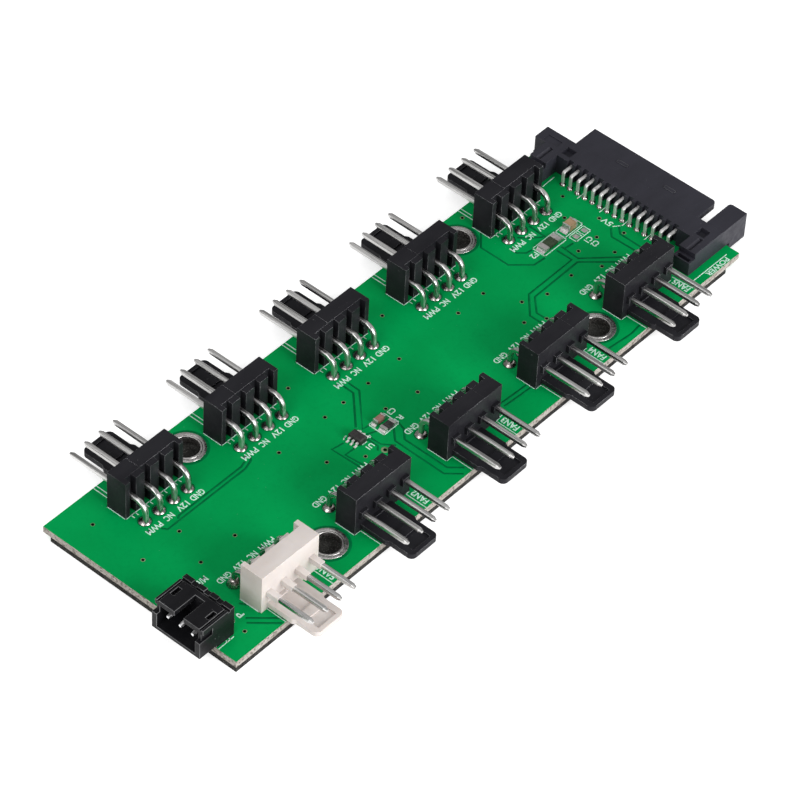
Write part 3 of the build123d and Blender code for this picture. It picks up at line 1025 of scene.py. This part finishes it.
gap_runs = [
    [(-4.55, 5.3), (-4.6, 3.4), (-9.4, -1.4), (-8.2, -1.6)],
    [(-5.4, 5.4), (-5.45, 3.66), (-9.75, -0.6)],
    [(-9.85, -2.6), (-9.8, -4.79), (-8.64, -6.28)],
    [(-10.3, -3.0), (-10.25, -4.7), (-10.85, -5.25)],
    [(-9.78, -2.39), (-8.38, -2.96)],
    [(-6.55, -4.1), (-8.1, -5.7), (-8.2, -13.8), (-6.55, -15.65)],
    [(-5.5, -4.0), (-5.8, -5.1), (-7.1, -6.4), (-7.15, -13.4), (-5.7, -15.0)],
    [(-12.8, -1.3), (-14.65, -0.95), (-14.5, -5.6)],
    [(-12.5, -2.9), (-14.2, -2.8), (-13.95, -5.65)],
    [(32.35, 1.7), (32.35, -0.85), (23.55, -0.97), (20.6, -3.6), (20.6, -5.6)],
    [(33.3, 1.7), (33.12, -1.32), (37.26, -5.3)],
    [(36.14, -5.46), (32.54, -1.68), (23.7, -1.85), (21.6, -3.9), (21.6, -5.6)],
    [(33.4, 1.15), (34.9, 1.0)],
    [(40.55, -0.78), (39.34, -1.88), (39.41, -5.7)],
    [(41.68, -1.18), (40.54, -2.35), (40.45, -5.8)],
    [(28.16, 11.1), (25.93, 9.23), (25.87, 4.51), (28.2, 2.06), (30.2, 1.9)],
    [(33.41, 7.3), (33.3, 4.4)],
    [(30.68, 7.0), (31.49, 5.89), (33.07, 4.6)],
    [(28.3, 6.0), (28.35, 5.16), (29.23, 4.23), (30.2, 4.08)],
    [(23.0, -14.8), (27.0, -15.2), (29.0, -15.0)],
    [(5.85, -11.1), (11.7, -11.4)],
    [(5.9, -11.75), (11.5, -12.1)],
    [(-38.9, 5.3), (-38.45, 4.6), (-24.4, 4.62), (-22.95, 5.1), (-22.5, 5.6)],
    [(-36.3, 4.9), (-35.9, 5.2), (-24.6, 5.2), (-23.6, 5.5)],
    [(-41.4, -9.9), (-40.7, -11.1)],
    [(-42.6, -12.1), (-39.1, -15.85)],
    [(-43.1, -12.7), (-40.2, -15.85)],
]
trace_gap_width = 0.3
lay_lines(
    "trace_gaps",
    gap_runs,
    trace_gap_width,
    gap_height,
    lacquer_gap,
    "solder_mask",
    square_ends=False,
)

# Paler outlines of the two small raised marks on the power inlet's plate: a painted highlight along
# their edges
inlet_top = node_box("power_inlet")[1].z
mark_half_width, mark_half_length = 0.26, 0.86
mark_line_width, mark_line_height, mark_depth = 0.08, 0.012, 0.02
mark_runs = []
for from_contacts, from_middle in ((5.95, 3.77), (6.35, -3.93)):
    x = from_contacts + contact_row
    y = from_middle + contact_middle
    low_corner = (x - mark_half_width, y - mark_half_length)
    high_corner = (x + mark_half_width, y + mark_half_length)
    mark_runs.append(outline(low_corner, high_corner))
lay_lines(
    "plate_marks",
    mark_runs,
    mark_line_width,
    mark_line_height,
    worn_mark,
    "black_nylon",
    level=inlet_top - mark_depth,
)


def lettering(word, centre, length, height, turn):
    """A word as a flat mesh of a length and height about a place, turned by degrees."""
    half_depth = 0.5
    curve = bpy.data.curves.new("word", "FONT")
    curve.body = word
    curve.resolution_u = 3
    curve.extrude = half_depth
    curve.offset = 0.018
    holder = link("word", curve)
    graph = bpy.context.evaluated_depsgraph_get()
    mesh = bpy.data.meshes.new_from_object(holder.evaluated_get(graph), depsgraph=graph)
    bpy.data.objects.remove(holder)
    xs = [v.co.x for v in mesh.vertices]
    ys = [v.co.y for v in mesh.vertices]
    middle = Vector(((min(xs) + max(xs)) / 2, (min(ys) + max(ys)) / 2, -half_depth))
    length_scale = length / (max(xs) - min(xs)) * MM
    height_scale = height / (max(ys) - min(ys)) * MM
    scale = Matrix.Diagonal((length_scale, height_scale, ink_height * MM, 1))
    place = Matrix.Translation(Vector((*centre, board_top)) * MM)
    turned = Matrix.Rotation(math.radians(turn), 4, "Z")
    mesh.transform(place @ turned @ scale @ Matrix.Translation(-middle))
    return mesh


# Each pin's label, its place along its header and its length
pin_labels = (("GND", 3.9, 2.2), ("12V", 1.28, 1.85), ("NC", -1.15, 1.35), ("PWM", -3.75, 2.45))
pin_label_height = 0.92
pin_label_rows = {-1: -5.8, 1: 5.92}
fan_label_offset = 5.22
fan_label_row = -14.25

# Each label's word, centre, length, height and turn in degrees
labels = []
for spot in header_spots.values():
    for name, offset, length in pin_labels:
        centre = (spot.middle + spot.facing * offset, pin_label_rows[spot.facing])
        labels.append((name, centre, length, pin_label_height, 180))
for number in range(1, front_headers + 1):
    centre = (header_spots[number].middle + fan_label_offset, fan_label_row)
    labels.append((f"FAN{number}", centre, 2.55, 1.02, 90))
labels += [
    ("POWER", (44.5, -15.5), 4.3, 0.82, 180),
    ("5V", (41.1, 0.35), 1.6, 0.9, 90),
    ("M/B", (-41.85, -4.2), 1.65, 0.95, 180),
    ("U1", (-10.95, -4.05), 1.0, 0.75, 180),
    ("C3", (-4.55, -1.97), 1.15, 0.8, 180),
    ("R1", (-4.85, -3.47), 1.15, 0.8, 180),
    ("F2", (29.6, 3.2), 1.15, 0.9, 180),
    ("C1", (36.85, -0.02), 1.1, 0.85, 180),
    ("C2", (36.85, -1.12), 1.1, 0.85, 180),
    ("P", (-42.65, -11.2), 0.8, 0.9, 90),
]
printed = bmesh.new()
for label in labels:
    letters = lettering(*label)
    printed.from_mesh(letters)
    bpy.data.meshes.remove(letters)
label_mesh = bpy.data.meshes.new("printed_labels")
printed.to_mesh(label_mesh)
printed.free()
settle(link("printed_labels", label_mesh, white_ink), "solder_mask")


# Small parts on the board

chip_finishes = {
    "buffer_chip": (chip_epoxy, "chip_epoxy"),
    "capacitor_1": (pink_ceramic, "capacitor_ceramic"),
    "capacitor_2": (tan_ceramic, "capacitor_ceramic"),
    "resistor_1": (black_glaze, "resistor_face"),
    "fuse": (green_glaze, "fuse_face"),
}
chip_rounding = 0.05
for node, (material, slot) in chip_finishes.items():
    softened_copy(node, chip_rounding, material, slot)
for node in ("capacitor_1_ends", "capacitor_2_ends", "resistor_1_ends", "fuse_ends", "bare_pads"):
    softened_copy(node, chip_rounding, tinned_end, "tinned_end")
softened_copy("buffer_chip_leads", 0.03, tinned_lead, "tinned_end")


def end_fillets(node, reach):
    """Two hollow-faced wedges of solder that run from a chip's ends down to the board."""
    side_inset = 0.04
    toe_height = 0.03
    low, high = node_box(node + "_ends")
    height = high.z - board_top
    half = (high.y - low.y) / 2 - side_inset
    middle = (low.y + high.y) / 2
    profile = [
        (0, 0),
        (reach, 0),
        (reach, toe_height),
        (0.45 * reach, 0.22 * height),
        (0.15 * reach, 0.5 * height),
        (0, 0.8 * height),
    ]
    count = len(profile)
    points = []
    faces = []
    for end, outward in ((low.x, -1), (high.x, 1)):
        first = len(points)
        for y in (middle - half, middle + half):
            points += [(end + outward * x, y, board_top + z) for x, z in profile]
        near = [first + i for i in range(count)]
        far = [first + count + i for i in range(count)]
        sides = [near, far[::-1]]
        for i in range(count):
            after = (i + 1) % count
            sides.append([near[i], far[i], far[after], near[after]])
        faces += sides if outward > 0 else [side[::-1] for side in sides]
    mesh = bpy.data.meshes.new(node + "_fillets")
    mesh.from_pydata([Vector(p) * MM for p in points], [], faces)
    piece = link(node + "_fillets", mesh, tinned_end)
    return settle(smooth(piece, 50), "solder")


fillet_reaches = {"capacitor_1": 0.4, "capacitor_2": 0.6, "resistor_1": 0.35, "fuse": 0.4}
for node, reach in fillet_reaches.items():
    end_fillets(node, reach)


# Board and foam keep their CAD shapes

for node, material in (("circuit_board", green_lacquer), ("foam_pad", dark_foam)):
    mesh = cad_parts[node].data
    mesh.materials.clear()
    mesh.materials.append(material)


# Floor, backdrop light and lamps


def pale_floor():
    """A floor that looks white to the camera, takes the object's shadow and is clear from below."""
    mesh = bpy.data.meshes.new("floor")
    half = 3.0
    level = -0.05 * MM
    corners = ((-half, -half), (half, -half), (half, half), (-half, half))
    mesh.from_pydata([(x, y, level) for x, y in corners], [], [(0, 1, 2, 3)])
    floor = link("floor", mesh)
    material = bpy.data.materials.new("floor_paper")
    material.use_nodes = True
    tree = material.node_tree
    shader = tree.nodes["Principled BSDF"]
    shader.inputs["Base Color"].default_value = (0.85, 0.85, 0.85, 1)
    shader.inputs["Roughness"].default_value = 1.0
    shader.inputs["Specular IOR Level"].default_value = 0.0
    shader.inputs["Emission Color"].default_value = (1, 1, 1, 1)
    rays = wire(tree, "ShaderNodeLightPath")
    seen = maths(tree, "MAXIMUM", rays.outputs["Is Camera Ray"], rays.outputs["Is Glossy Ray"])
    tree.links.new(maths(tree, "MULTIPLY", seen, 0.5), shader.inputs["Emission Strength"])
    underside = wire(tree, "ShaderNodeNewGeometry").outputs["Backfacing"]
    tree.links.new(maths(tree, "SUBTRACT", 1.0, underside), shader.inputs["Alpha"])
    mesh.materials.append(material)


def studio_world(level):
    """Even light all round, white where the camera looks past the floor."""
    world = bpy.data.worlds.new("studio")
    bpy.context.scene.world = world
    world.use_nodes = True
    tree = world.node_tree
    sky = tree.nodes["Background"]
    sky.inputs["Color"].default_value = (1, 1, 1, 1)
    rays = wire(tree, "ShaderNodeLightPath")
    strength = maths(tree, "MULTIPLY_ADD", rays.outputs["Is Camera Ray"], 1 - level, level)
    tree.links.new(strength, sky.inputs["Strength"])


def softbox(name, place, power):
    """A square lamp of half a metre that faces the middle of the board, its place in metres."""
    lamp = bpy.data.lights.new(name, "AREA")
    lamp.shape = "SQUARE"
    lamp.size = 0.5
    lamp.energy = power
    holder = bpy.data.objects.new(name, lamp)
    bpy.context.scene.collection.objects.link(holder)
    holder.location = place
    holder.rotation_euler = (-Vector(place)).to_track_quat("-Z", "Y").to_euler()


pale_floor()
studio_world(level=0.38)
softbox("left_softbox", (-0.62, -0.05, 0.45), power=3.2)
softbox("front_softbox", (0.05, -0.75, 0.27), power=7.5)
softbox("top_softbox", (0.1, 0.15, 0.9), power=1.0)


# Camera at the photographed view, as the directions of its right, up and back

camera_data = bpy.data.cameras.new("camera")
camera_data.lens = 196.05
camera_data.sensor_width = 36.0
camera = bpy.data.objects.new("camera", camera_data)
bpy.context.scene.collection.objects.link(camera)
right = Vector((0.6579, -0.7520, 0.0401))
up = Vector((0.5188, 0.4911, 0.6998))
back = right.cross(up).normalized()
up = back.cross(right).normalized()
right = up.cross(back)
camera_place = Vector((-301.75, -242.54, 392.98)) * MM
camera_turn = Matrix((right, up, back)).transposed().to_4x4()
camera.matrix_world = Matrix.Translation(camera_place) @ camera_turn
camera_data.clip_start = 0.05
camera_data.clip_end = 20.0
bpy.context.scene.camera = camera

bpy.context.scene.view_settings.view_transform = "Standard"
